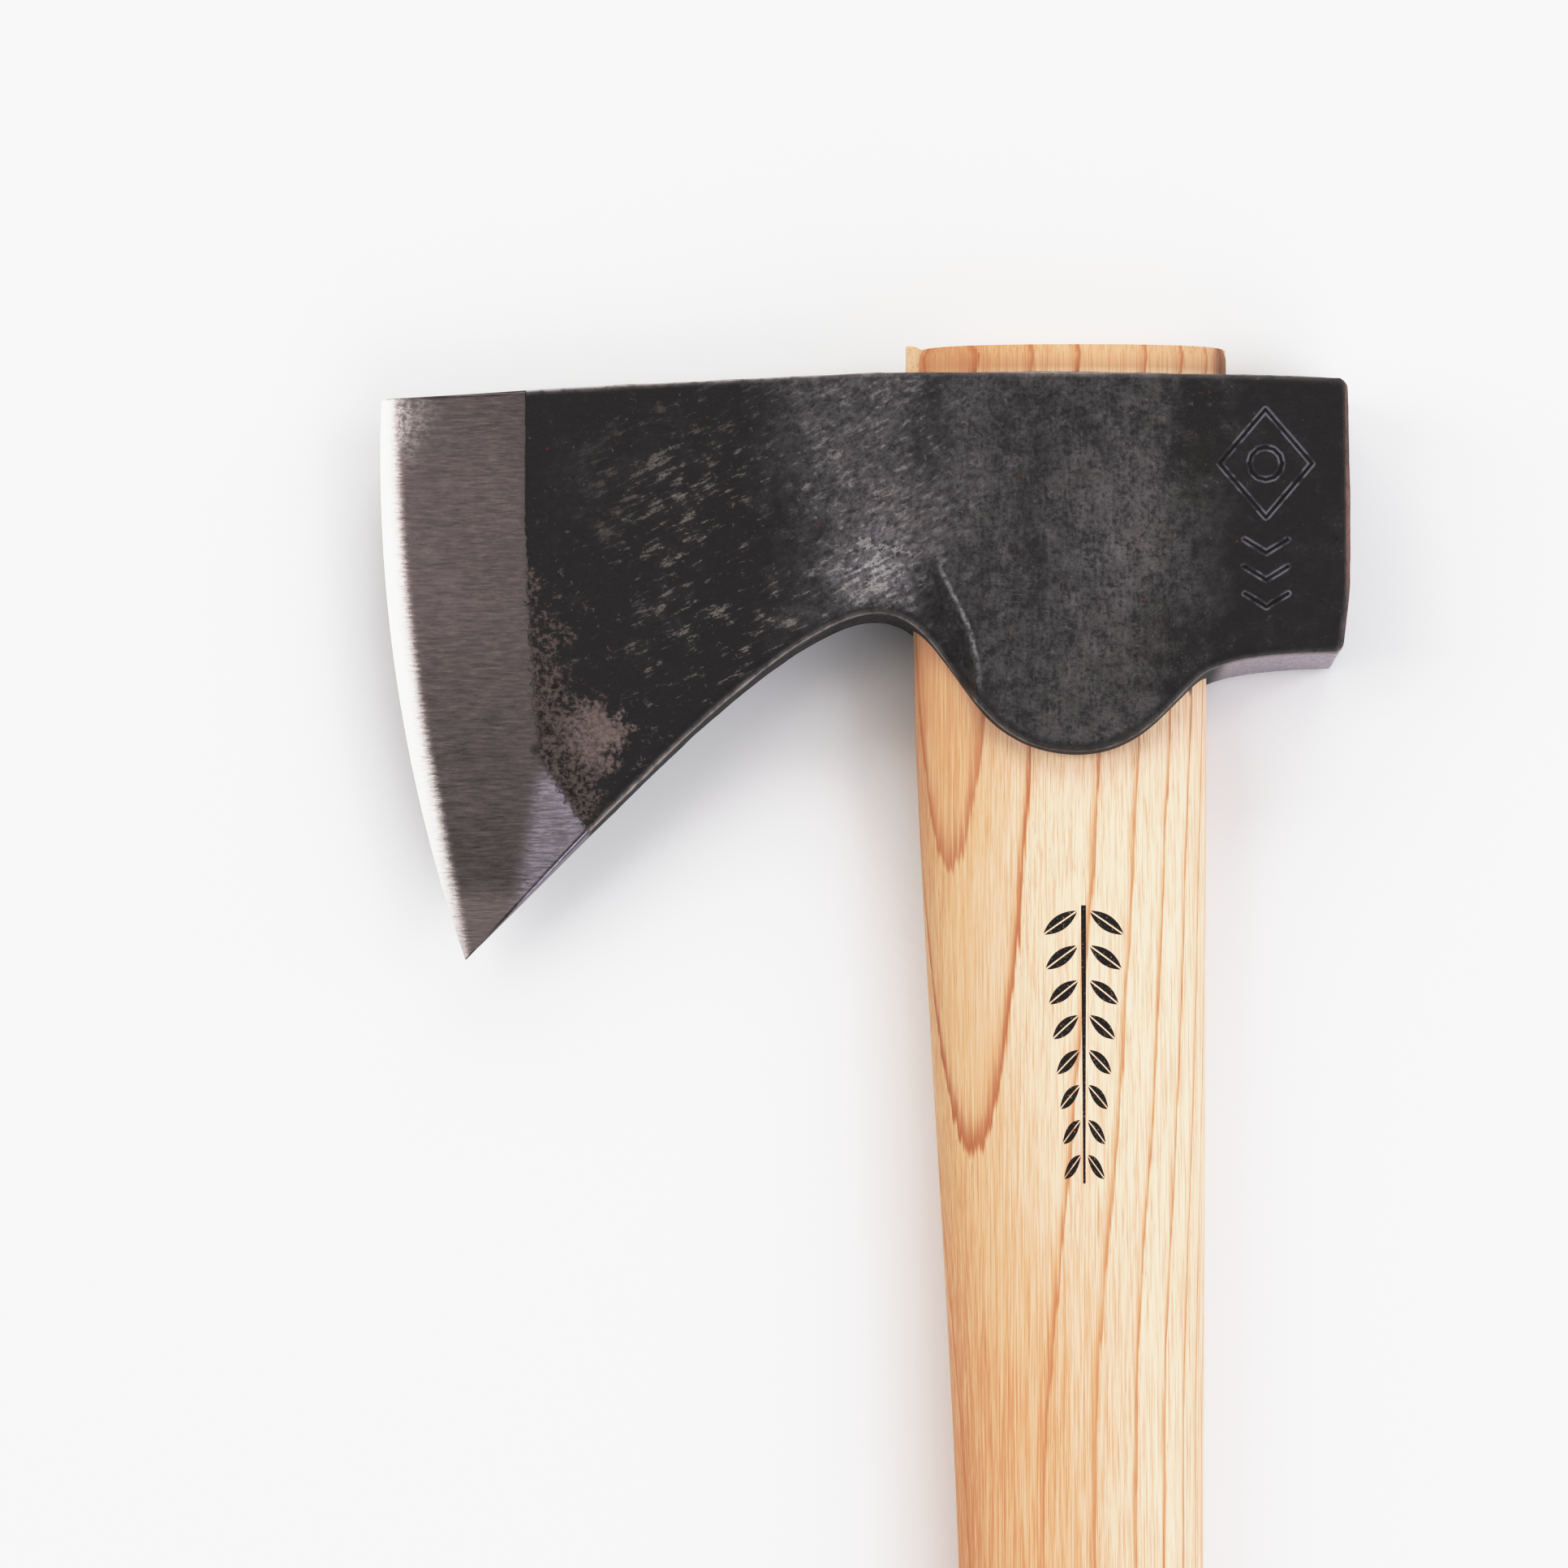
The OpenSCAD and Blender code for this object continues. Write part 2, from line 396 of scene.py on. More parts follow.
def build_head_blank():
    """The solid head before its eye is cut: two mirrored faces and a rim."""
    grid = head_grid()
    columns, rows = grid.shape[:2]
    x, y = grid[..., 0].ravel(), grid[..., 1].ravel()
    half = head_half(x, y)
    inward = distance_to_line(x, y, outline_of(grid), 4.0)
    radius = np.clip(0.16 * half, 0.02, 1.7)
    gap = np.clip(1 - inward / radius, 0, 1)
    half = np.maximum(half - radius * (1 - np.sqrt(1 - gap**2)), 0.0).reshape(columns, rows)
    half[0] = 0.0

    upper = np.dstack([grid, half]).reshape(-1, 3)
    lower = upper * [1, 1, -1]
    points = [upper, lower]
    count = columns * rows

    def top_at(i, j):
        return i * rows + j

    def bottom_at(i, j):
        return i * rows + j if i == 0 else count + i * rows + j

    faces = []
    for i in range(columns - 1):
        for j in range(rows - 1):
            faces.append((top_at(i, j), top_at(i, j + 1), top_at(i + 1, j + 1), top_at(i + 1, j)))
            faces.append((bottom_at(i, j), bottom_at(i + 1, j), bottom_at(i + 1, j + 1), bottom_at(i, j + 1)))

    border = [(i, 0) for i in range(columns)]
    border += [(columns - 1, j) for j in range(1, rows)]
    border += [(i, rows - 1) for i in range(columns - 2, -1, -1)]
    walls = len(WALL_SHARES) - 1
    base = 2 * count
    strips = []
    for k in range(1, walls):
        strip = upper[[top_at(i, j) for i, j in border]].copy()
        strip[:, 2] *= WALL_SHARES[k]
        strips.append(strip)
    points += strips

    def wall_at(n, k):
        i, j = border[n]
        if i == 0 or k == 0:
            return top_at(i, j)
        if k == walls:
            return bottom_at(i, j)
        return base + (k - 1) * len(border) + n

    for n in range(len(border) - 1):
        for k in range(walls):
            corners = [wall_at(n, k), wall_at(n + 1, k), wall_at(n + 1, k + 1), wall_at(n, k + 1)]
            face = [c for m, c in enumerate(corners) if c not in corners[:m]]
            if len(face) > 2:
                faces.append(tuple(face))
    return make_mesh("forged_head", np.concatenate(points), faces)


def hammer(piece):
    """Moves the forged faces in and out along their normals, as hammering and scale leave them."""
    p = get_points(piece)
    normals = np.empty(len(p) * 3)
    piece.data.vertices.foreach_get("normal", normals)
    normals = normals.reshape(-1, 3)
    behind = p[:, 0] - shoulder_x(p[:, 1])
    forged = smooth(behind, 0.0, 5.0)
    dents = field(p, 17.0, 2, 3.1) * 0.16 + field(p, 6.0, 2, 8.4) * 0.07 + field(p, 1.9, 3, 5.2) * 0.035
    neck = np.exp(-(((p[:, 0] + 40) / 22) ** 2))
    dents += field(p * [0.6, 1.0, 0.6], 3.2, 2, 1.3) * 0.06 * neck
    set_points(piece, p + normals * (dents * forged)[:, None])


# ---------------- haft: shape


def haft_stations(steps):
    """The haft's stations, from its top to its knob."""
    return chain(HAFT_RUNS, steps)


def oval(station, count, grow=0.0):
    """One oval ring of the haft round [y, front x, back x, half thickness]."""
    y, front, back, half = station
    a = np.linspace(0, 2 * math.pi, count, endpoint=False)
    c = np.sign(np.cos(a)) * np.abs(np.cos(a)) ** (2 / OVAL_POWER)
    s = np.sign(np.sin(a)) * np.abs(np.sin(a)) ** (2 / OVAL_POWER)
    wide = (back - front) / 2 + grow
    return np.stack([(front + back) / 2 + wide * c, np.full(count, y), (half + grow) * s], 1)


def loft(name, rings):
    """A closed solid through rings of equal length."""
    count = len(rings[0])
    faces = [tuple(range(count))]
    for k in range(len(rings) - 1):
        for i in range(count):
            j = (i + 1) % count
            faces.append((k * count + i, (k + 1) * count + i, (k + 1) * count + j, k * count + j))
    last = (len(rings) - 1) * count
    faces.append(tuple(range(last + count - 1, last - 1, -1)))
    return make_mesh(name, np.concatenate(rings), faces)


def eye_cutter():
    """The space that the haft's tongue fills, with the eye's mouths eased."""
    stations = [s for s in haft_stations(24) if s[0] > -100]
    rings = []
    for s in stations:
        ease = 0.7 * smooth(s[0], -1.2, 0.8)
        rings.append(oval(s, 96, 0.02 + ease))
    top = np.array(stations[0])
    top[0] = 20
    rings.insert(0, oval(top, 96, 0.72))
    return loft("eye_cutter", rings)


def groove(line, width, depth):
    """Cutters for a V groove that follows a line of (x, y) points on the upper cheek."""
    line = np.array(line, float)
    cutters = []
    for a, b in zip(line[:-1], line[1:]):
        along = (b - a) / np.linalg.norm(b - a)
        side = np.array([-along[1], along[0]])
        slope = width / 2 / depth
        over = 0.6
        rings = []
        for end, pull in ((a, -1), (b, 1)):
            floor = head_half(end[0], end[1]) - depth
            wide = (depth + over) * slope
            tip = end + along * pull * wide * 0.5
            rings.append([(*end, floor), (*(tip + side * wide), floor + depth + over),
                          (*(tip - side * wide), floor + depth + over)])
        faces = [(0, 1, 2), (5, 4, 3), (0, 3, 4, 1), (1, 4, 5, 2), (2, 5, 3, 0)]
        cutters.append(make_mesh("groove", np.concatenate(rings), faces))
    return cutters


def stamp_lines():
    """Plain stamped marks on the poll: a lozenge with a small ring in it, and three chevrons below."""
    x, y = STAMP_AT
    turn = np.radians(np.arange(0, 361, 30))
    wide, high = LOZENGE_WIDE, LOZENGE_HIGH
    lozenge = [(x, y + high), (x + wide, y), (x, y - high), (x - wide, y), (x, y + high)]
    ring = [(x + RING_RADIUS * math.cos(a), y + RING_RADIUS * math.sin(a)) for a in turn]
    lines = [lozenge, ring]
    for drop in CHEVRON_DROPS:
        low = y - drop
        ends = low + CHEVRON_HIGH
        lines.append([(x - CHEVRON_WIDE, ends), (x, low), (x + CHEVRON_WIDE, ends)])
    return lines


def stamp_cutters():
    return [cutter for line in stamp_lines() for cutter in groove(line, STAMP_WIDTH, STAMP_DEPTH)]


def stamp_distance(x, y, z):
    """Distance from each point of the upper cheek to the middle of the nearest stamped line."""
    nearest = [distance_to_line(x, y, np.array(line, float), 3.0) for line in stamp_lines()]
    return np.where(z > 0, np.min(nearest, axis=0), 3.0)


def build_head():
    piece = build_head_blank()
    cut(piece, stamp_cutters())
    hammer(piece)
    cut(piece, [eye_cutter()])
    shade(piece, 32)
    x, y, z = get_points(piece).T
    inward = distance_to_line(x, y, outline_of(head_grid()), 6.0)
    sunk = np.clip(head_half(x, y) - np.abs(z), 0, None)
    store(piece, "shoulder", x - shoulder_x(y))
    store(piece, "honed", edge_distance(x, y) - honed_width(y))
    store(piece, "rim", inward)
    store(piece, "arris", np.exp(-((np.hypot(inward, sunk) / 0.55) ** 2)))
    store(piece, "ridge", x - ridge_x(y))
    store(piece, "stamp", stamp_distance(x, y, z))
    store(piece, "wall", smooth(sunk, 0.5, 1.4))
    return piece


def dome_y(share):
    """Height of the haft's top at a share of the way from its middle to its rim."""
    return DOME_TOP - DOME_RISE * share**2.2


def top_rings(count):
    """Rings of the haft's domed top, from its middle to just inside its rim."""
    front, back, half = HAFT_RUNS[0][0][1:]
    front += TOP_SET_BACK
    middle = (front + back) / 2
    rings = []
    for share in (0.02, 0.3, 0.55, 0.75, 0.87, 0.94, 0.98):
        reach = (back - front) / 2 * share
        rings.append(oval((dome_y(share), middle - reach, middle + reach, half * share), count))
    return rings


def wedge_half(y):
    """Half thickness of the wooden wedge at a height."""
    slope = (WEDGE_THICK - WEDGE_TIP) / 2 / (WEDGE_TOP + WEDGE_DEPTH)
    return WEDGE_TIP / 2 + slope * (y + WEDGE_DEPTH)


def wedge_cutter():
    """The space that the wooden wedge fills, run past the haft at both ends and above."""
    reach = WEDGE_LENGTH / 2 + 3
    rings = []
    for y in (-WEDGE_DEPTH, CUT_TOP):
        half = wedge_half(y)
        rings.append([(-reach, y, -half), (reach, y, -half), (reach, y, half), (-reach, y, half)])
    return loft("wedge_cutter", rings)


def steel_shape(name, top):
    """The steel cross wedge: a thin blade across the haft, tapering downward, cut into three legs."""
    rows, across = 24, 18
    low = STEEL_TOP - STEEL_LENGTH
    points, faces = [], []
    for side in (1, -1):
        for y in np.linspace(top, low, rows + 1):
            thick = np.interp(y, [low, STEEL_TOP], [STEEL_TIP, STEEL_THICK])
            for z in np.linspace(-STEEL_WIDTH / 2, STEEL_WIDTH / 2, across + 1):
                points.append((STEEL_X + side * thick / 2, y, z))
    side_count = (rows + 1) * (across + 1)
    for j in range(rows):
        for i in range(across):
            a = j * (across + 1) + i
            b = a + across + 1
            faces.append((a, b, b + 1, a + 1))
            faces.append((side_count + a, side_count + a + 1, side_count + b + 1, side_count + b))
    border = list(range(across + 1))
    border += [j * (across + 1) + across for j in range(1, rows + 1)]
    border += [rows * (across + 1) + i for i in range(across - 1, -1, -1)]
    border += [j * (across + 1) for j in range(rows - 1, -1, -1)]
    for a, b in zip(border[:-1], border[1:]):
        faces.append((a, b, side_count + b, side_count + a))
    piece = make_mesh(name, points, faces)
    reach, half = 4.0, LEG_SLOT / 2
    for z in (-STEEL_WIDTH / 6, STEEL_WIDTH / 6):
        corners = [(-reach, z - half), (reach, z - half), (reach, z + half), (-reach, z + half)]
        slot = [[(STEEL_X + x, y, depth) for x, depth in corners] for y in (low - 2, low + LEG_LENGTH)]
        cut(piece, [loft("slot", slot)])
    return piece


def build_haft():
    """The haft, with the places of both wedges cut out of it."""
    stations = haft_stations(28)
    above = [np.array([y, *stations[0][1:]]) for y in (4.0, 2.4, 0.9)]
    stations = np.concatenate([above, stations[stations[:, 0] < 0.2]])
    stations[:, 1] += TOP_SET_BACK * smooth(stations[:, 0], 0.2, 0.8)
    rings = top_rings(144) + [oval(s, 144) for s in stations]
    piece = loft("haft_wood", rings)
    cut(piece, [wedge_cutter(), steel_shape("steel_cutter", CUT_TOP)])
    shade(piece, 40)
    return piece


def build_wood_wedge():
    """The wooden wedge: it follows the haft's dome, and its sawn top is rough."""
    front, back = HAFT_RUNS[0][0][1:3]
    middle, reach = (front + back) / 2, (back - front) / 2
    columns, across, rows = 160, 14, 12
    grid = []
    for x in np.linspace(-WEDGE_LENGTH / 2, WEDGE_LENGTH / 2, columns):
        share = min(abs(x - middle) / reach, 1.0)
        top = dome_y(share) - 0.15
        over = [(x, top, wedge_half(top) * (2 * i / across - 1)) for i in range(across + 1)]
        down = np.linspace(top, -WEDGE_DEPTH, rows + 1)[1:]
        far = [(x, y, wedge_half(y)) for y in down]
        near = [(x, y, -wedge_half(y)) for y in down[::-1]]
        grid.append(near + over + far)
    grid = np.array(grid)
    top_rows = slice(rows, rows + across + 1)
    flat = grid[:, top_rows].reshape(-1, 3)
    rough = field(flat * [1, 0, 0.4], 2.2, 3, 4.4) * 0.22 + field(flat, 0.7, 2, 9.1) * 0.1
    front_lift = 0.9 * smooth(-flat[:, 0], 25, 28)
    grid[:, top_rows, 1] += (rough + front_lift).reshape(columns, across + 1)
    piece = loft("wood_wedge_sawn", list(grid))
    inside = [s for s in haft_stations(24) if -100 < s[0] < 0.3]
    above = [(y, front - 0.2, back - 0.3, HAFT_RUNS[0][0][3]) for y in (CUT_TOP, 0.9)]
    cut(piece, [loft("eye_space", [oval(s, 120) for s in above + inside])], "INTERSECT")
    cut(piece, [steel_shape("steel_cutter", CUT_TOP)])
    shade(piece, 35)
    return piece


def build_steel_wedge():
    """The steel wedge, with its top dented by the hammer."""
    piece = steel_shape("steel_wedge_struck", STEEL_TOP)
    p = get_points(piece)
    near_top = smooth(p[:, 1], STEEL_TOP - 1.5, STEEL_TOP)
    p[:, 1] += near_top * (field(p * [0.2, 0, 1], 3.0, 2, 6.6) * 0.2 - 0.1)
    set_points(piece, p)
    shade(piece, 35)
    return piece


# ---------------- camera, light and floor


# The camera's place and the point it looks at, in the axe's millimetres, and its lens
CAMERA_AT = (-37.07, -213.27, 1600)
CAMERA_TARGET = (-51.17, -74.67, 0)
CAMERA_LENS = 199.5

# Lamps above the axe: name, place and size in metres, power in watts and colour
LAMP_TARGET = (0, 0.13, 0)
LAMPS = [
    ("left_box", (-1.06, 0.28, 0.86), (0.66, 1.8), 9.0, (1, 0.98, 0.94)),
    ("low_box", (0.6, -0.85, 0.95), (1.3, 1.2), 9.6, (0.94, 0.955, 1)),
    ("right_box", (1.3, 0.35, 0.9), (0.9, 1.6), 8.4, (1, 0.985, 0.97)),
    ("back_box", (-0.1, 1.4, 0.9), (1.8, 0.9), 10.4, (1, 0.99, 0.98)),
]
SKY_COLOR = (0.97, 0.965, 1.0, 1)
SKY_STRENGTH = 0.15

# Scene light to picture light: a soft shoulder that keeps the pale floor and its shadows light
TONE = [(0, 0), (0.05, 0.034), (0.2, 0.185), (0.44, 0.6), (0.68, 0.885), (1.0, 0.958), (1.5, 0.99)]

FLOOR_REACH = 6.0
FLOOR_COLOR = (0.9, 0.9, 0.91, 1)


def place_camera():
    """A long lens that looks almost straight down at the axe."""
    camera = bpy.data.cameras.new("camera")
    camera.lens = CAMERA_LENS
    camera.sensor_width = 36
    camera.clip_end = 20
    eye = bpy.data.objects.new("camera", camera)
    bpy.context.scene.collection.objects.link(eye)
    place, target = (Vector((ORIGIN + np.array(p) * MM).tolist()) for p in (CAMERA_AT, CAMERA_TARGET))
    forward = (target - place).normalized()
    right = forward.cross(Vector((0, 1, 0))).normalized()
    turn = Matrix((right, right.cross(forward), -forward)).transposed()
    eye.matrix_world = Matrix.Translation(place) @ turn.to_4x4()
    bpy.context.scene.camera = eye


def place_lights():
    """Four large lamps and a faint sky."""
    for name, at, size, power, color in LAMPS:
        lamp = bpy.data.lights.new(name, "AREA")
        lamp.shape = "RECTANGLE"
        lamp.size, lamp.size_y = size
        lamp.energy = power
        lamp.color = color
        holder = bpy.data.objects.new(name, lamp)
        holder.location = at
        holder.rotation_euler = (Vector(LAMP_TARGET) - Vector(at)).to_track_quat("-Z", "Y").to_euler()
        bpy.context.scene.collection.objects.link(holder)
    world = bpy.data.worlds.new("studio")
    world.use_nodes = True
    sky = world.node_tree.nodes["Background"]
    sky.inputs["Color"].default_value = SKY_COLOR
    sky.inputs["Strength"].default_value = SKY_STRENGTH
    bpy.context.scene.world = world


def set_tone():
    """Gives the picture the tone curve."""
    view = bpy.context.scene.view_settings
    view.view_transform = "Standard"
    view.use_curve_mapping = True
    white = TONE[-1][0]
    view.curve_mapping.white_level = (white, white, white)
    curve = view.curve_mapping.curves[3]
    curve.points[0].location = TONE[0]
    curve.points[-1].location = (1, TONE[-1][1])
    for light, picture in TONE[1:-1]:
        curve.points.new(light / white, picture)
    view.curve_mapping.update()


def build_floor():
    """A plain pale floor."""
    reach = FLOOR_REACH
    corners = [(-reach, -reach, 0), (reach, -reach, 0), (reach, reach, 0), (-reach, reach, 0)]
    mesh = bpy.data.meshes.new("floor")
    mesh.from_pydata(corners, [], [(0, 1, 2, 3)])
    floor = bpy.data.objects.new("floor", mesh)
    bpy.context.scene.collection.objects.link(floor)
    paint = bpy.data.materials.new("floor_paper")
    paint.use_nodes = True
    shader = paint.node_tree.nodes["Principled BSDF"]
    shader.inputs["Base Color"].default_value = FLOOR_COLOR
    shader.inputs["Roughness"].default_value = 0.9
    mesh.materials.append(paint)


# ---------------- materials: helper


def linear(red, green, blue):
    """A display colour, 0 to 255, as the linear colour that shaders take."""
    shares = [c / 255 for c in (red, green, blue)]
    return tuple(c / 12.92 if c < 0.0404 else ((c + 0.055) / 1.055) ** 2.4 for c in shares)


class Paint:
    """A material under construction: each method adds nodes and returns the last one's output."""

    def __init__(self, name):
        self.material = bpy.data.materials.new(name)
        self.material.use_nodes = True
        self.nodes = self.material.node_tree.nodes
        self.links = self.material.node_tree.links
        self.surface = self.nodes["Principled BSDF"]
        self.at = self.place()
        self.x, self.y, self.z = self.node("SeparateXYZ", {0: self.at}).outputs

    def node(self, kind, inputs=(), **settings):
        made = self.nodes.new("ShaderNode" + kind)
        for key, value in settings.items():
            setattr(made, key, value)
        for key, value in dict(inputs).items():
            self.feed(made.inputs[key], value)
        return made

    def feed(self, socket, value):
        """Gives a socket a link, a display colour or a plain value."""
        if isinstance(value, bpy.types.NodeSocket):
            self.links.new(value, socket)
        elif socket.type == "RGBA":
            socket.default_value = (*linear(*value), 1)
        else:
            socket.default_value = value

    def place(self):
        """Position in the axe's millimetres."""
        where = self.node("TexCoord").outputs["Object"]
        moved = self.node("VectorMath", {0: where, 1: tuple(ORIGIN)}, operation="SUBTRACT").outputs[0]
        return self.node("VectorMath", {0: moved, "Scale": 1 / MM}, operation="SCALE").outputs[0]

    def stretch(self, scale, turn=0.0):
        """Position turned about z by degrees, then scaled along each axis."""
        turned = self.node(
            "VectorRotate", {"Vector": self.at, "Angle": math.radians(turn)}, rotation_type="Z_AXIS"
        ).outputs[0]
        return self.node("VectorMath", {0: turned, 1: scale}, operation="MULTIPLY").outputs[0]

    def math(self, operation, a, b=0.0, c=0.0, clamp=False):
        return self.node("Math", {0: a, 1: b, 2: c}, operation=operation, use_clamp=clamp).outputs[0]

    def fold(self, operation, values, clamp=False):
        """One operation over several values, from left to right. Only the last one clamps."""
        result = values[0]
        for value in values[1:-1]:
            result = self.math(operation, result, value)
        return self.math(operation, result, values[-1], clamp=clamp)

    def plus(self, *values, clamp=False):
        return self.fold("ADD", values, clamp)

    def times(self, *values, clamp=False):
        return self.fold("MULTIPLY", values, clamp)

    def most(self, *values):
        return self.fold("MAXIMUM", values)

    def total(self, *parts):
        """The sum of (value, weight) parts."""
        return self.plus(*[self.times(value, weight) for value, weight in parts])

    def minus(self, a, b):
        return self.math("SUBTRACT", a, b)

    def over(self, a, b):
        return self.math("DIVIDE", a, b)

    def power(self, a, b):
        return self.math("POWER", a, b)

    def size(self, value):
        return self.math("ABSOLUTE", value)

    def centred(self, value):
        return self.minus(value, 0.5)

    def hill(self, place):
        """1 at the middle of [x, reach along x, y, reach along y], falling to 0 at its ellipse."""
        x, reach_x, y, reach_y = place
        far_x = self.power(self.over(self.minus(self.x, x), reach_x), 2)
        far_y = self.power(self.over(self.minus(self.y, y), reach_y), 2)
        return self.step(self.math("SQRT", self.plus(far_x, far_y)), 1.0, 0.0)

    def noise(self, vector, scale, detail, rough):
        inputs = {"Vector": vector, "Scale": scale, "Detail": detail, "Roughness": rough}
        return self.node("TexNoise", inputs).outputs[0]

    def step(self, value, low, high, to_low=0.0, to_high=1.0):
        """to_low below low, to_high above high, smooth between. low may be above high."""
        inputs = {0: value, 1: low, 2: high, 3: to_low, 4: to_high}
        return self.node("MapRange", inputs, interpolation_type="SMOOTHSTEP").outputs[0]

    def mark(self, name):
        """A number kept on the mesh's points."""
        return self.node("Attribute", attribute_name=name).outputs["Fac"]

    def blend(self, share, a, b):
        """Colour a where share is 0, b where it is 1."""
        mixer = self.node("Mix", data_type="RGBA", clamp_factor=True)
        self.feed(mixer.inputs["Factor"], share)
        self.feed(mixer.inputs[6], a)
        self.feed(mixer.inputs[7], b)
        return mixer.outputs[2]

    def coats(self, color, *coats):
        """A colour under coats of (share, colour), the last one on top."""
        for share, tint in coats:
            color = self.blend(share, color, tint)
        return color

    def bump(self, height, strength, distance_mm):
        inputs = {"Height": height, "Strength": strength, "Distance": distance_mm * MM}
        return self.node("Bump", inputs).outputs[0]

    def finish(self, **sockets):
        names = {"color": "Base Color", "rough": "Roughness", "metal": "Metallic", "normal": "Normal"}
        for key, value in sockets.items():
            self.feed(self.surface.inputs[names[key]], value)
        return self.material


# ---------------- materials: the head's steel

# Places on the head's side, each [x, reach along x, y, reach along y]
NECK = (-35, 27, -20, 60)
LOW_NECK = (-33.6, 13.42, -36.2, 13.42)
CHEEK_LIGHT = (10, 16, -29, 27)
BRIGHT_PATCH = (-83.8, 12.0, -65.8, 10.5)
MOTTLED_PATCH = (-91.0, 13.0, -69.0, 17.0)
RUBBED_SPOT = (14.5, 7.5, -31.3, 7.0)
SCRATCHES = (-9.3, 7.5, -41.0, 4.5)
FROSTED_TOE_HIGHLIGHT = (-124.5, 11.0, -5.0, 15.0)
SMALL_HOLE = (-97.1, 1.3, -68.6, 1.3)
# Places painted darker, with how much rubbed grey each takes away; the one at x -26, beside the neck's flare,
# is painted shade.
DARK_PLACES = [((24, 9, -13, 20), 0.30), ((19, 12, -50, 14), 0.25), ((-26, 8, -11, 20), 0.20)]

# Colours as a display shows them, 0 to 255: the scale, what lies on it, and its painted highlights and shade,
# from the bottom up
SCALE_BLACK = (44, 40, 41)
SCALE_RUBBED = (138, 134, 137)
SCALE_BROWN = (96, 89, 80)
NECK_GLINT = (192, 190, 192)
STREAK = (160, 152, 145)
SPOT = (126, 120, 112)
GLINT = (150, 144, 138)
SPARKLE_HIGHLIGHT = (142, 138, 134)
SCRATCH = (146, 141, 140)
RUST = (132, 74, 48)
CREASE_SHADE = (34, 31, 32)
CREASE_LIP_HIGHLIGHT = (170, 168, 170)
STAMP_EDGE_HIGHLIGHT = (146, 142, 154)

# The bare metal, the head's outline with its painted shade and highlight, and the poll's underside
BARE_DARK, BARE_LIGHT = (62, 53, 54), (152, 136, 132)
PATCH_LIGHT = (170, 154, 148)
RIM_SHADE = (26, 23, 24)
UNDER_DARK, UNDER_LIGHT = (146, 139, 146), (214, 208, 214)
RIM_WEAR_AND_HIGHLIGHT, RIM_BROWN = (206, 196, 192), (132, 78, 60)
POLL_LINE = (146, 92, 74)
ARRIS = (205, 198, 197)

# The ground faces
BEVEL_DARK, BEVEL_LIGHT = (44, 40, 42), (114, 105, 106)
FACET_REFLECTION = (149, 145, 155)
HONED = (205, 203, 203)
HOLE = (24, 21, 22)


def steel_base():
    """The head's paint, with the numbers, noises and places that its layers share."""
    s = Paint("forged_steel")
    for name in ("shoulder", "honed", "rim", "arris", "ridge", "stamp", "wall"):
        setattr(s, name, s.mark(name))
    s.cloud = s.noise(s.at, 0.055, 4, 0.6)
    s.patchy = s.noise(s.at, 0.28, 4, 0.62)
    s.mottled = s.noise(s.at, 0.32, 8, 0.8)
    s.frayed = s.noise(s.at, 0.35, 5, 0.7)
    s.grain = s.noise(s.at, 1.1, 5, 0.7)
    s.speck = s.noise(s.at, 2.6, 3, 0.7)
    s.slant = s.noise(s.stretch((0.22, 1.05, 0.6), -25), 1.0, 8, 0.72)
    s.brush = s.noise(s.stretch((0.04, 1.9, 1.9)), 1.0, 5, 0.75)
    s.comb = s.noise(s.stretch((0.10, 2.0, 2.0)), 1.0, 5, 0.75)
    drag = s.noise(s.stretch((1.5, 0.16, 1.0)), 1.0, 5, 0.7)
    pebble = s.total((drag, 0.2), (s.mottled, 0.45), (s.grain, 0.35))
    s.pebble = s.plus(s.times(s.centred(pebble), 1.7), 0.5)
    s.neck = s.hill(NECK)
    s.low_neck = s.hill(LOW_NECK)
    s.cheek = s.times(s.step(s.x, -26, -14), s.step(s.x, 34, 20))
    s.patch = s.hill(BRIGHT_PATCH)
    s.under = s.times(s.wall, s.step(s.x, 27, 31), s.step(s.y, -50.5, -51.8))
    s.face = s.minus(1.0, s.wall)
    return s


def bare_share(s):
    """Where brown-grey metal shows through the scale behind the shoulder."""
    near = s.times(s.step(s.shoulder, 13, 0), s.step(s.y, -20, -56))
    push = s.total((near, 0.20), (s.patch, 0.24), (s.hill(MOTTLED_PATCH), 0.10))
    return s.step(s.plus(s.total((s.patchy, 0.6), (s.grain, 0.4)), push), 0.60, 0.70)


def worn_share(s):
    """Where black scale is rubbed grey: at the neck and in patches on the cheek."""
    rubbed = s.total((s.neck, 0.55), (s.cheek, 0.27), (s.low_neck, 0.6), (s.hill(CHEEK_LIGHT), 0.24))
    for place, depth in DARK_PLACES:
        rubbed = s.minus(rubbed, s.times(s.hill(place), depth))
    uneven = s.total((s.centred(s.cloud), 0.9), (s.centred(s.patchy), 0.8))
    rubbed = s.plus(rubbed, s.times(uneven, s.plus(s.neck, s.cheek, 0.3, clamp=True)))
    smear = s.noise(s.stretch((0.42, 0.9, 0.6), -32), 1.0, 6, 0.74)
    rise = s.total((smear, 0.55), (s.grain, 0.45))
    texture = s.total((rise, s.minus(1.0, s.cheek)), (s.pebble, s.cheek))
    return s.times(rubbed, s.step(texture, 0.36, 0.64, 0.2, 1.7), clamp=True)


def streak_share(s):
    """Light streaks that rise to the right across the blade and the neck."""
    belt = s.times(s.step(s.x, -95, -66), s.step(s.x, -18, -32), s.step(s.y, -2, -22, 0.3, 1.0))
    uneven = s.total((s.centred(s.patchy), 0.5), (s.centred(s.cloud), 0.35))
    streaks = s.times(s.step(s.plus(s.slant, uneven), 0.565, 0.645), belt)
    return s.times(streaks, s.step(s.speck, 0.36, 0.56, 0.25, 1.0))


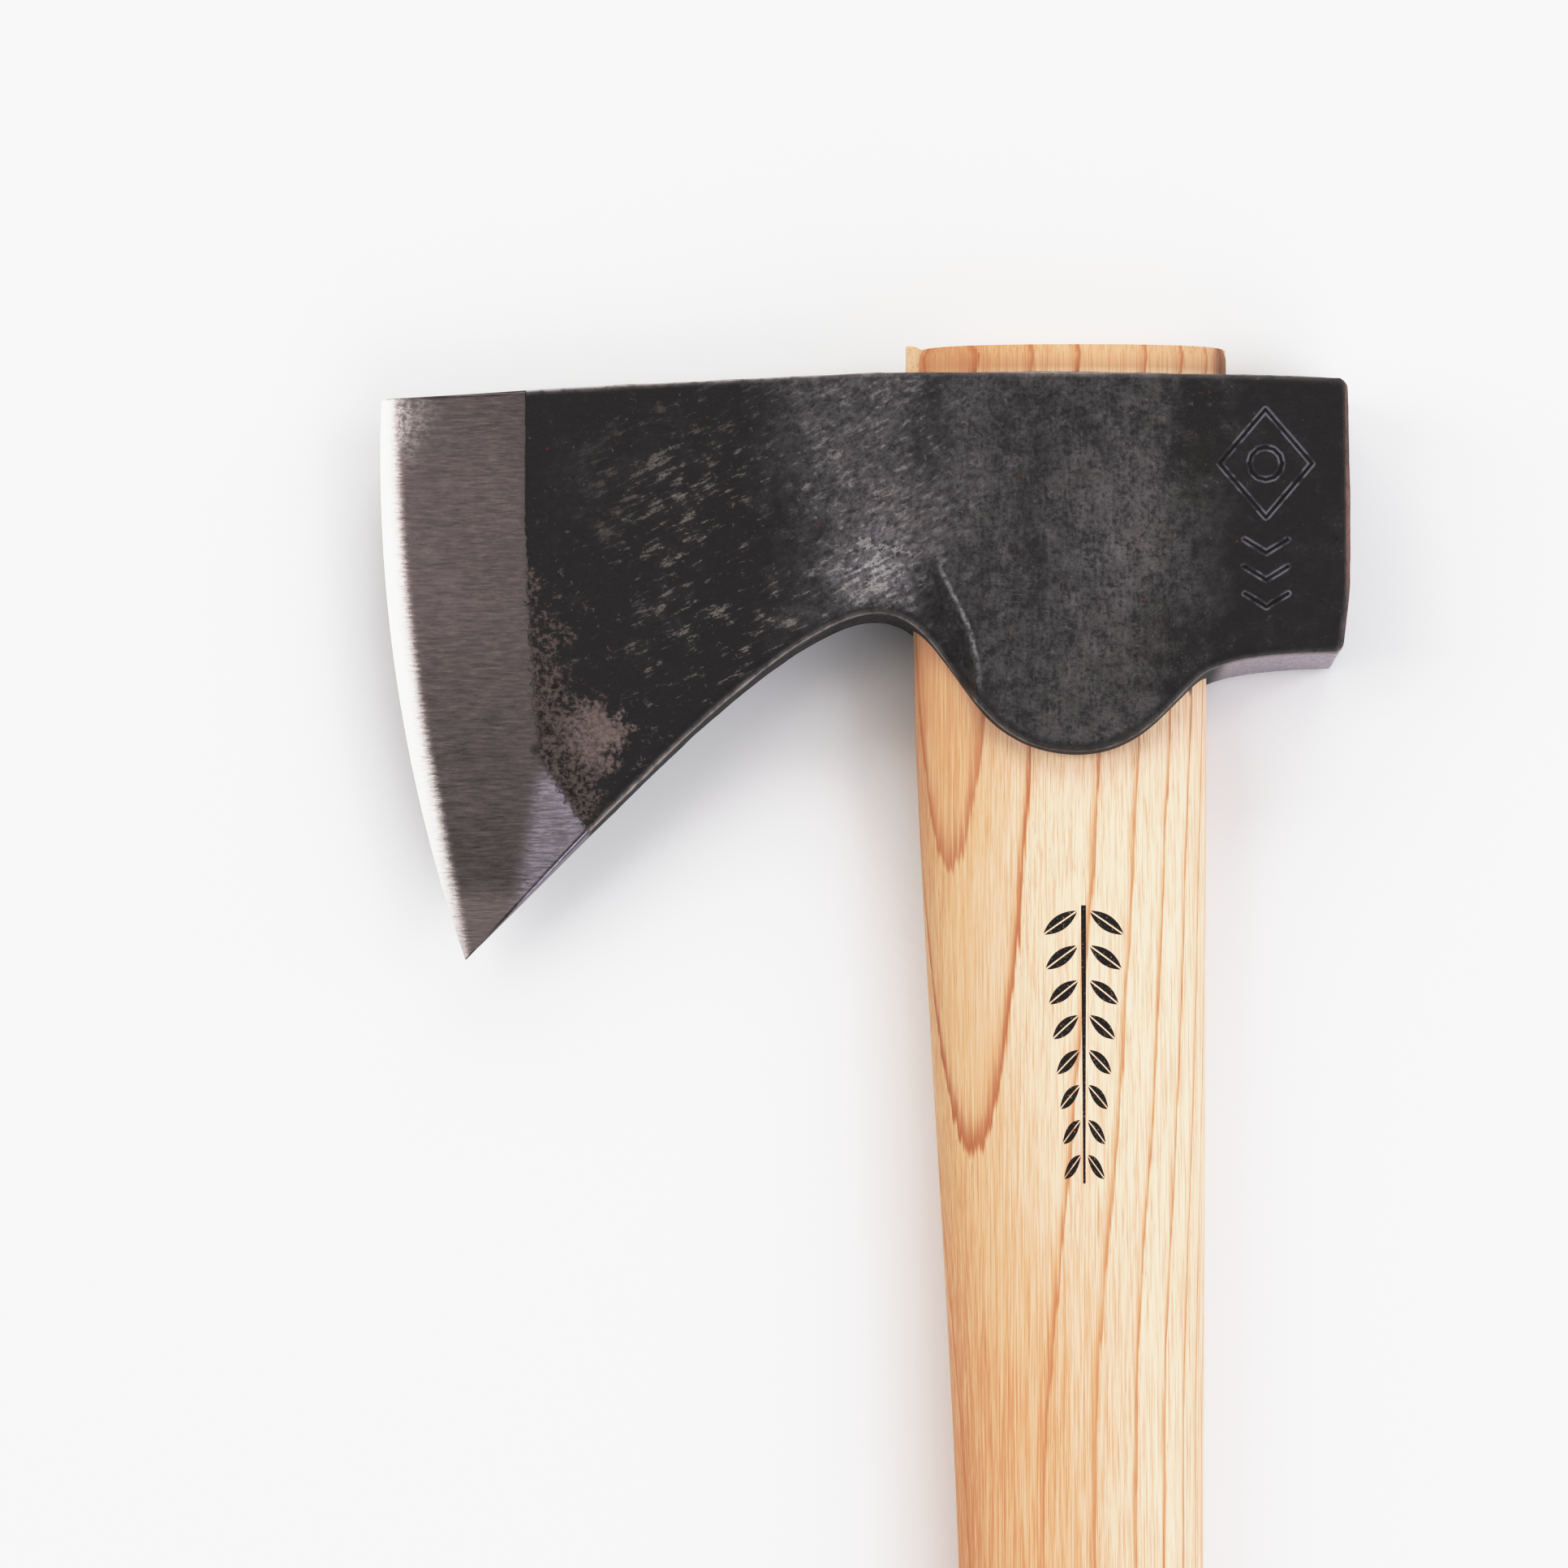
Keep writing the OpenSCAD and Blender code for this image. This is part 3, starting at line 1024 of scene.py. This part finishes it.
def neck_glint_share(s):
    """Painted highlight: bright glints on the neck."""
    lit = s.total((s.slant, 0.7), (s.grain, 0.3), (s.centred(s.patchy), 0.35), (s.low_neck, 0.06))
    return s.times(s.step(lit, 0.54, 0.64), s.total((s.neck, 0.5), (s.low_neck, 0.75)), clamp=True)


def scale_color(s, worn):
    """Black forge scale, rubbed grey, with what lies on it and with painted highlights and painted shade."""
    brown = s.times(s.step(s.cloud, 0.45, 0.6), s.cheek, s.step(s.pebble, 0.38, 0.62))
    spot = s.times(s.hill(RUBBED_SPOT), s.step(s.grain, 0.42, 0.62))
    glints = s.times(s.step(s.noise(s.at, 0.9, 3, 0.6), 0.64, 0.72), s.step(s.x, 34, 26))
    # Painted highlight: small light sparkle specks over the cheek's scale.
    painted_sparkle = s.times(s.step(s.plus(s.speck, s.times(s.centred(s.mottled), 0.5)), 0.60, 0.70), s.cheek)
    scratches = s.times(s.step(s.comb, 0.55, 0.64), s.hill(SCRATCHES))
    rust = s.step(s.noise(s.at, 0.75, 2, 0.5), 0.725, 0.75)
    # Painted shade: darkening in the crease in front of the lugs.
    crease_shade = s.times(s.step(s.ridge, -6.5, -3.5), s.step(s.ridge, -0.4, -1.6), s.step(s.y, -31, -42))
    # Painted highlight: a light line along the crease's lip.
    lip = s.times(s.step(s.ridge, -0.6, 0.1), s.step(s.ridge, 0.9, 0.35), s.step(s.y, -34, -38))
    lip = s.times(lip, s.step(s.y, -61, -50), s.step(s.grain, 0.35, 0.6, 0.15, 0.8))
    # Painted highlight: light rims along the stamped grooves.
    struck_marks_and_highlights = s.times(s.step(s.stamp, 0.2, 0.38), s.step(s.stamp, 0.8, 0.5))
    struck_marks_and_highlights = s.times(struck_marks_and_highlights, s.step(s.patchy, 0.40, 0.56, 0.1, 0.9))
    return s.coats(
        s.blend(worn, SCALE_BLACK, SCALE_RUBBED),
        (s.times(brown, 0.28), SCALE_BROWN),
        (neck_glint_share(s), NECK_GLINT),
        (s.times(streak_share(s), 0.8), STREAK),
        (s.times(spot, 0.6), SPOT),
        (s.times(glints, 0.4), GLINT),
        (s.times(painted_sparkle, 0.45), SPARKLE_HIGHLIGHT),
        (s.times(scratches, 0.7), SCRATCH),
        (s.times(rust, 0.6), RUST),
        (s.times(crease_shade, 0.2), CREASE_SHADE),
        (lip, CREASE_LIP_HIGHLIGHT),
        (struck_marks_and_highlights, STAMP_EDGE_HIGHLIGHT),
    )


def forged_color(s, worn, bare, rim_wear_and_highlight, edge_wear):
    """Scale and bare metal, with painted shade, painted highlight and wear along the head's outline."""
    bare_color = s.blend(s.step(s.grain, 0.38, 0.60), BARE_DARK, BARE_LIGHT)
    bare_color = s.blend(s.times(s.patch, 0.55), bare_color, PATCH_LIGHT)
    shade_at_rim = s.times(s.most(s.step(s.rim, 2.6, 0.9), s.wall), s.step(s.y, -30, -46))
    shade_at_rim = s.times(shade_at_rim, s.step(s.x, 46, 40, 0.3, 1.0), 0.7)
    poll_line = s.times(s.step(s.x, 51.9, 52.3), s.step(s.frayed, 0.35, 0.55, 0.3, 0.9), s.face)
    return s.coats(
        scale_color(s, worn),
        (s.times(bare, s.step(s.patch, 0, 0.6, 0.65, 0.95)), bare_color),
        (shade_at_rim, RIM_SHADE),
        (s.under, s.blend(s.grain, UNDER_DARK, UNDER_LIGHT)),
        (rim_wear_and_highlight, s.blend(s.step(s.x, 49.5, 51.5), RIM_WEAR_AND_HIGHLIGHT, RIM_BROWN)),
        (poll_line, POLL_LINE),
        (edge_wear, ARRIS),
    )


def ground_color(s, strip):
    """A brushed bevel with a painted reflection on a facet, and a honed strip that dies out in specks at the
    toe under a frosted painted highlight.
    """
    tone = s.plus(s.step(s.y, -20, -90, 0.66, 0.50), s.step(s.y, -92, -103, 0.0, 1.2))
    tone = s.plus(tone, s.total((s.centred(s.cloud), 0.3), (s.centred(s.brush), 1.4)))
    facet_line = s.plus(s.x, 97.0, s.times(s.plus(s.y, 71.0), -0.16))
    # Painted reflection: a paler, bluish facet on the bevel near the heel.
    facet_reflection = s.times(s.step(facet_line, -1.6, 3.4), s.step(s.y, -69, -76))
    facet_reflection = s.times(facet_reflection, s.step(s.brush, 0.35, 0.65, 0.45, 1.0), 0.7)
    # Painted highlight: a frosted, speckled highlight at the toe.
    frosted_toe_highlight = s.times(s.hill(FROSTED_TOE_HIGHLIGHT), s.step(s.grain, 0.36, 0.62, 0.2, 1.0), 0.42)
    bevel_color = s.blend(tone, BEVEL_DARK, BEVEL_LIGHT)
    return s.coats(bevel_color, (facet_reflection, FACET_REFLECTION), (s.most(strip, frosted_toe_highlight), HONED))


def steel_height(s, ground):
    """Height of the fine relief: pitted scale, and brush lines on the ground faces."""
    pits = s.node("TexVoronoi", {"Vector": s.at, "Scale": 0.33}, feature="F1").outputs["Distance"]
    pits = s.times(s.step(pits, 0.16, 0.04), s.step(s.cloud, 0.5, 0.6))
    relief = s.total((s.grain, 0.8), (s.slant, 0.7), (s.speck, 0.35), (pits, -0.6))
    lines = s.total((s.brush, 0.05), (s.comb, 0.02))
    return s.total((relief, s.minus(1.0, ground)), (lines, ground))


def paint_steel():
    """Honed, ground and forged steel in one finish, told apart by the numbers kept on the mesh."""
    s = steel_base()
    ragged = s.times(s.centred(s.grain), s.step(s.y, -22, -46, 0.6, 7.0))
    ground = s.step(s.plus(s.shoulder, ragged), 0.12, -0.12)
    strip = s.step(s.plus(s.honed, s.times(s.centred(s.comb), 3.0)), 1.4, -2.6)
    bare = bare_share(s)
    worn = worn_share(s)
    edge_wear = s.times(s.arris, s.step(s.frayed, 0.34, 0.6, 0.3, 1.0), clamp=True)
    # Worn bright metal and a painted highlight: a thin light line along the head's outline.
    rim_wear_and_highlight = s.times(s.step(s.rim, 0.42, 0.2), s.step(s.frayed, 0.30, 0.55, 0.25, 0.85), s.face)
    hole = s.hill(SMALL_HOLE)
    forged = forged_color(s, worn, bare, rim_wear_and_highlight, edge_wear)
    color = s.coats(forged, (ground, ground_color(s, strip)), (hole, HOLE))
    metal = s.plus(s.times(worn, 0.3), s.times(s.most(edge_wear, rim_wear_and_highlight), 0.6), clamp=True)
    metal = s.most(metal, s.times(bare, 0.7), ground, s.times(s.under, 0.9))
    metal = s.times(metal, s.minus(1.0, hole))
    rough_scale = s.step(s.total((s.grain, 0.5), (s.slant, 0.5)), 0.35, 0.65, 0.56, 0.36)
    rough_ground = s.plus(s.times(s.brush, 0.10), s.step(strip, 0, 1, 0.20, 0.32))
    rough = s.total((rough_scale, s.minus(1.0, ground)), (rough_ground, ground))
    normal = s.bump(steel_height(s, ground), 1.0, 0.85)
    return s.finish(color=color, rough=rough, metal=metal, normal=normal)


# ---------------- materials: the haft and the wedges

# Wood colours at the haft's front and at its back; the front's darker copies are partly the wood's own colour
# and partly painted shade
EARLY_WOOD = (206, 173, 142), (237, 212, 190)
RING_WOOD = (188, 144, 112), (220, 184, 156)
LATE_WOOD = (162, 110, 74), (184, 132, 96)

# What lies on them, with painted shade among it, from the bottom up
FIBRE_DARK, FIBRE_LIGHT = (194, 144, 106), (238, 214, 192)
HAIR_LINE = (176, 120, 80)
PORE = (150, 104, 72)
WARM_STAIN_AND_SHADE = (192, 135, 88)
TOP_STAIN = (194, 136, 88)
CORNER_SHADE = (120, 76, 48)
KNOT = (70, 46, 34)
INK = (34, 31, 30)
KNOT_PLACE = (23.7, 0.55, -57.3, 2.4)


def ring_wood(w):
    """Growth rings cut by the haft: late wood, place in the ring, fibre and pores, each 0 to 1."""
    wander = w.centred(w.noise(w.stretch((0.05, 0.02, 0.05)), 1.0, 2, 0.5))
    feather = w.centred(w.noise(w.stretch((1.6, 0.035, 1.6)), 1.0, 3, 0.6))
    down = w.math("SMOOTH_MAX", w.minus(w.y, PITH_Y), -PITH_STRAIGHT, PITH_EASE)
    across = w.power(w.minus(w.minus(w.x, PITH[0]), w.times(down, PITH_LEAN[0])), 2)
    up = w.power(w.minus(w.minus(w.z, PITH[1]), w.times(down, PITH_LEAN[1])), 2)
    waver = w.total((wander, RING_WANDER), (feather, RING_FEATHER))
    radius = w.plus(w.math("SQRT", w.plus(across, up)), waver)
    radius = w.plus(radius, w.step(radius, *WIDE_RING, WIDE_BY, 0.0))
    turn = w.over(w.minus(radius, RING_START), RING_STEP)
    phase = w.math("FRACT", turn)
    floor = w.math("FLOOR", turn)
    which = w.noise(w.node("CombineXYZ", {0: floor, 1: 3.7, 2: 1.9}).outputs[0], 0.77, 0, 0.5)
    late = w.times(w.step(phase, 0.0, 0.03), w.power(w.step(phase, 0.30, 0.02), 4.0))
    twin = w.times(w.step(phase, 0.64, 0.72), w.step(phase, 0.82, 0.74), w.step(w.x, -6, 2))
    late = w.plus(late, w.times(twin, w.step(which, 0.45, 0.6, 0.0, 0.45)))
    late = w.times(late, w.step(which, 0.3, 0.7, 0.7, 1.0), clamp=True)
    fibre = w.noise(w.stretch((3.4, 0.05, 3.4)), 1.0, 3, 0.65)
    pore = w.step(w.noise(w.stretch((6.5, 0.2, 6.5)), 1.0, 2, 0.6), 0.60, 0.70)
    pore = w.times(pore, w.step(phase, 0.5, 0.95, 0.3, 1.0))
    return late, phase, fibre, pore


def sprig(w):
    """Printed mark: a stem with pairs of plain leaves that get smaller towards its tip."""
    ahead = w.minus(PRINT_TOP, w.y)
    along = w.over(ahead, PRINT_TOP - PRINT_END)
    side = w.over(w.size(w.minus(w.x, PRINT_X)), w.step(along, 1.0, 0.0, 0.5, 1.0))
    cell = w.minus(w.math("MODULO", ahead, LEAF_STEP), LEAF_STEP / 2)
    out = w.minus(side, LEAF_OUT)
    cos, sin = math.cos(LEAF_TURN), math.sin(LEAF_TURN)
    long_way = w.over(w.total((out, cos), (cell, sin)), LEAF_LONG)
    short_way = w.size(w.total((cell, cos), (out, -sin)))
    half_width = w.times(w.minus(1.0, w.power(long_way, 2)), LEAF_WIDE)
    leaf = w.step(w.minus(short_way, half_width), 0.06, -0.06)
    vein = w.step(short_way, 0.1, 0.2)
    stem = w.step(side, 0.5, 0.38)
    inside = w.times(w.step(along, -0.003, 0.003), w.step(along, 1.003, 0.997))
    return w.times(w.most(w.times(leaf, vein), stem), inside)


def paint_haft():
    """Ash: pale early wood, orange-brown late wood, fine pores, and a printed sprig."""
    w = Paint("ash_haft")
    late, phase, fibre, pore = ring_wood(w)
    # Partly painted shade: the haft's front side takes the darker copies of the wood colours.
    behind = w.step(w.x, -27, 4)
    early, ring, dark = (w.blend(behind, *pair) for pair in (EARLY_WOOD, RING_WOOD, LATE_WOOD))
    hair = w.noise(w.stretch((5.5, 0.03, 5.5)), 1.0, 2, 0.6)
    # Stain and painted shade: the haft's lower part and its front side near the top are warmed and darkened.
    warm_low = w.times(w.step(w.y, -120, -200), w.step(w.x, 20, -6, 0.12, 1.0))
    warm_top = w.times(w.step(w.y, -105, -65), w.step(w.y, -15, -45), w.step(w.x, -8, -24, 0.0, 0.45))
    warmed = w.times(w.most(warm_low, warm_top), w.step(fibre, 0.35, 0.6, 0.5, 1.0))
    # Painted shade: the haft's rounded back corner just above the head is darkened.
    back_corner_shade = w.times(w.step(w.y, -0.5, 1.0), w.step(w.x, 27.6, 29.4))
    ink = w.times(sprig(w), w.step(w.noise(w.at, 2.6, 3, 0.6), 0.30, 0.42, 0.6, 1.0), w.step(w.z, 0, 2))
    color = w.coats(
        early,
        (w.step(phase, 0.32, 0.0, 0.0, 0.5), ring),
        (late, dark),
        (w.step(fibre, 0.44, 0.64, 0.0, 0.42), FIBRE_DARK),
        (w.step(fibre, 0.46, 0.32, 0.0, 0.3), FIBRE_LIGHT),
        (w.step(hair, 0.58, 0.68, 0.0, 0.4), HAIR_LINE),
        (w.times(pore, 0.32), PORE),
        (w.times(warmed, 0.62), WARM_STAIN_AND_SHADE),
        (w.step(w.y, 0.5, 2.0, 0.0, 0.42), TOP_STAIN),
        (w.times(back_corner_shade, 0.6), CORNER_SHADE),
        (w.times(w.hill(KNOT_PLACE), 0.9), KNOT),
        (ink, INK),
    )
    w.surface.inputs["Specular IOR Level"].default_value = 0.35
    rough = w.plus(0.42, w.times(fibre, 0.16))
    height = w.total((fibre, 0.5), (pore, -0.6))
    return w.finish(color=color, rough=rough, normal=w.bump(height, 0.5, 0.06))


def paint_wedge_wood():
    """The wedge's raw pale wood, with torn fibres on its sawn top."""
    w = Paint("raw_wedge")
    fibre = w.noise(w.stretch((2.4, 0.3, 2.4)), 1.0, 4, 0.65)
    torn = w.noise(w.at, 1.4, 4, 0.7)
    color = w.blend(fibre, (224, 188, 158), (246, 222, 198))
    color = w.blend(w.step(torn, 0.52, 0.7, 0.0, 0.5), color, (190, 146, 110))
    rough = w.plus(0.68, w.times(torn, 0.15))
    height = w.total((torn, 0.7), (fibre, 0.4))
    return w.finish(color=color, rough=rough, normal=w.bump(height, 0.8, 0.25))


def paint_wedge_steel():
    """Struck mild steel: dark mill skin, with bright hammer marks on top."""
    s = Paint("wedge_steel")
    grain = s.noise(s.at, 1.6, 4, 0.65)
    marks = s.noise(s.at, 0.6, 3, 0.6)
    struck_marks_and_highlights = s.times(s.step(s.y, STEEL_TOP - 0.8, STEEL_TOP - 0.2), s.step(marks, 0.42, 0.58))
    color = s.blend(grain, (84, 82, 86), (142, 140, 142))
    color = s.blend(struck_marks_and_highlights, color, (196, 194, 192))
    rough = s.step(grain, 0.3, 0.7, 0.5, 0.32)
    height = s.total((grain, 0.4), (marks, 0.6))
    return s.finish(color=color, rough=rough, metal=1.0, normal=s.bump(height, 0.6, 0.15))


# ---------------- the scene

place_camera()
place_lights()
set_tone()
build_floor()

PIECES = [
    (build_head, paint_steel, "head", "forged_steel"),
    (build_haft, paint_haft, "haft", "haft_wood"),
    (build_wood_wedge, paint_wedge_wood, "wood_wedge", "wedge_wood"),
    (build_steel_wedge, paint_wedge_steel, "steel_wedge", "wedge_steel"),
]
for build, paint, node, slot in PIECES:
    piece = build()
    piece.data.materials.clear()
    piece.data.materials.append(paint())
    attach(piece, "root")
    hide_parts(node)
